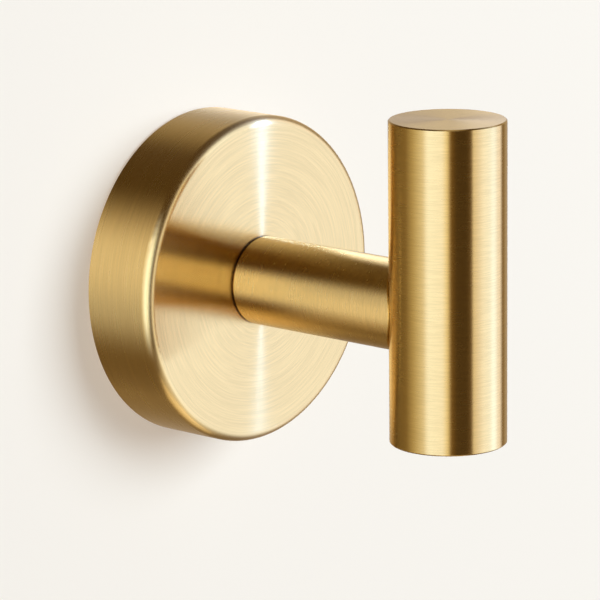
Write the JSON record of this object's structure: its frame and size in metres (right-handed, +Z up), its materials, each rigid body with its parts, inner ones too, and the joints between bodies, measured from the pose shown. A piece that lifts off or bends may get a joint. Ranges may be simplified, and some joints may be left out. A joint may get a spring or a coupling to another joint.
{
  "type": "coat hook",
  "caption": "Brushed brass wall hook: a round rosette on a concealed bracket carries a round arm with an upright crossbar that keeps coats and towels from slipping off.",
  "frame": {"origin": "centre of the rosette on the wall plane", "axes": "+Z up, +Y into the wall, so the arm stands out towards -Y; +X to the right when facing the wall"},
  "size_m": [0.052, 0.06, 0.056],
  "materials": {
    "brushed_brass": "fine circular brushing, satin",
    "bracket_steel": "turned, satin",
    "screw_steel": "plain stainless"
  },
  "bodies": {
    "root": {"rosette": "brushed_brass", "arm": "brushed_brass", "crossbar": "brushed_brass", "wall_bracket": "bracket_steel", "tie_screw": "screw_steel", "lock_washer": "screw_steel", "grub_screw": "screw_steel"}
  },
  "joints": []
}
